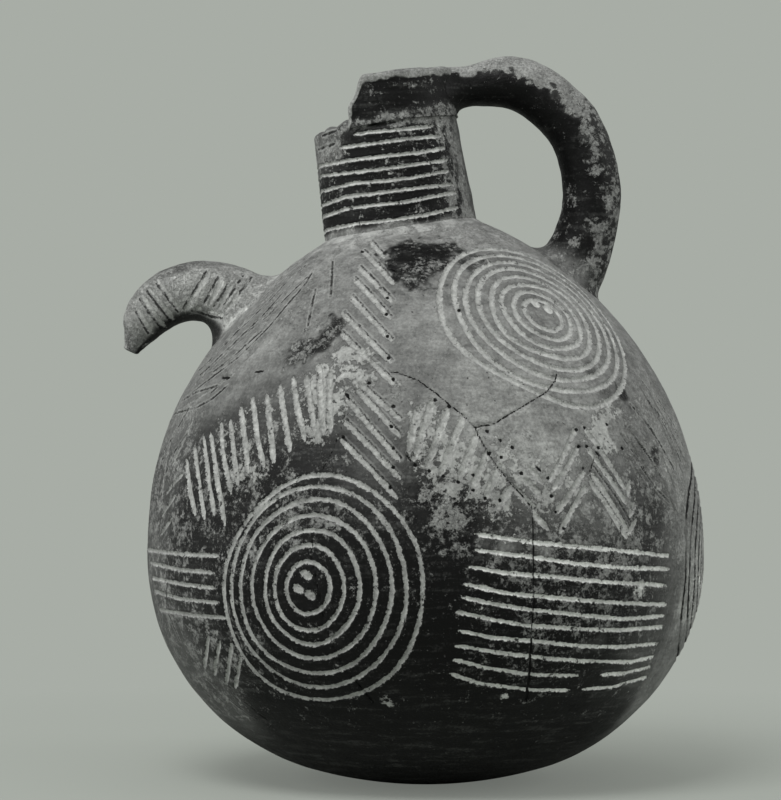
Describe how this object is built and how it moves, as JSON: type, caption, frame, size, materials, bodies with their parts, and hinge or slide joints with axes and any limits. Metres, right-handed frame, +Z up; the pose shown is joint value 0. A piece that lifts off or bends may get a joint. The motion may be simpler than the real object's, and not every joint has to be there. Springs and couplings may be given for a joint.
{
  "type": "puzzle jug",
  "caption": "Round-bottomed hand-built jug with a leaning neck, cutaway mouth, high loop handle, hooked horn spout and lime-filled incised circles, bands and zigzags.",
  "frame": {"origin": "on the body's axis, at the flat of the round base that the jug rests on", "axes": "+Z up the body's axis; the handle is towards +X, the horn spout towards -X and the decorated front faces -Y"},
  "size_m": [0.2338, 0.222, 0.2887],
  "materials": {
    "bare_clay": "matt fired clay, seen only in the breaks and inside",
    "dark_burnished_slip": "near-black slip, burnished to a soft sheen, worn",
    "grey_burnished_slip": "mottled grey slip, burnished, scuffed",
    "pale_worn_slip": "pale grey slip, worn and matt",
    "lime_fill": "chalky white lime rubbed into the lines"
  },
  "bodies": {
    "root": {"base_bowl": "dark_burnished_slip", "body_wall": "bare_clay", "middle_sherd": "bare_clay", "right_sherd": "bare_clay", "neck": "bare_clay", "neck_luting": "pale_worn_slip", "mouth": "dark_burnished_slip", "handle": "dark_burnished_slip", "horn_spout": "pale_worn_slip", "slip_coat_front": "grey_burnished_slip", "slip_coat_back": "dark_burnished_slip", "slip_coat_middle_sherd": "dark_burnished_slip", "slip_coat_right_sherd": "pale_worn_slip", "slip_coat_neck": "dark_burnished_slip", "lime_neck_lines": "lime_fill", "lime_front_circle": "lime_fill", "lime_shoulder_circle": "lime_fill", "lime_handle_side_circle": "lime_fill", "lime_horn_side_strokes": "lime_fill", "lime_horn_root_strokes": "lime_fill", "lime_centre_band": "lime_fill", "lime_left_band": "lime_fill", "lime_right_band": "lime_fill", "lime_zigzag": "lime_fill", "lime_right_panel": "lime_fill", "lime_left_panel": "lime_fill", "lime_low_strokes": "lime_fill", "lime_chevrons": "lime_fill", "lime_horn_strokes": "lime_fill", "lime_back_circle": "lime_fill", "lime_back_shoulder_circle": "lime_fill", "lime_back_bands": "lime_fill", "lime_back_panels": "lime_fill"}
  },
  "joints": []
}
